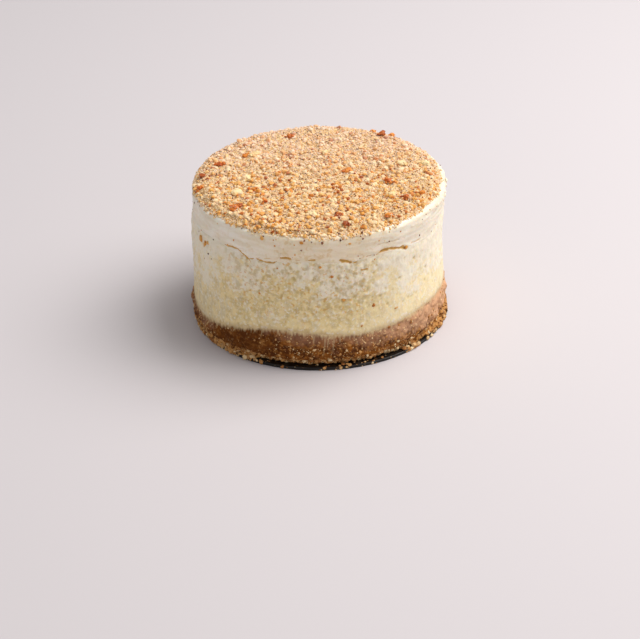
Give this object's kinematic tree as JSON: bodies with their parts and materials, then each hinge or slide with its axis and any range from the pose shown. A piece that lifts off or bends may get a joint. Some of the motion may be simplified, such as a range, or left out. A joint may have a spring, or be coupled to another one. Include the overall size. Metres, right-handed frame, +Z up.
{
  "type": "cheesecake",
  "caption": "Small round cheesecake: a pressed biscuit base, a cheese filling and a cream layer under chopped nut and biscuit crumbs, on a thin round dark card.",
  "frame": {"origin": "middle of the cake's outline, on the card's underside", "axes": "+Z up out of the crumb topping, -Y towards the cake's front as the picture shows it, +X to its right"},
  "size_m": [0.0838, 0.083, 0.0488],
  "materials": {
    "card": "thin near-black coated card, slightly glossy, with fine crumbs stuck to its edge",
    "biscuit": "pressed biscuit crumb, matt and craggy, brown with a pale film near the filling",
    "filling": "set cream cheese, pale yellow low down and whiter above, finely pitted and smeared upright",
    "cream": "whipped cream, off-white and soft, with level smears",
    "crumbs": "chopped nuts and biscuit meal, pale and golden with dark brown specks"
  },
  "bodies": {
    "root": {"card": "card", "biscuit_base": "biscuit", "cheese_filling": "filling", "cream_layer": "cream", "crumb_topping": "crumbs"}
  },
  "joints": []
}
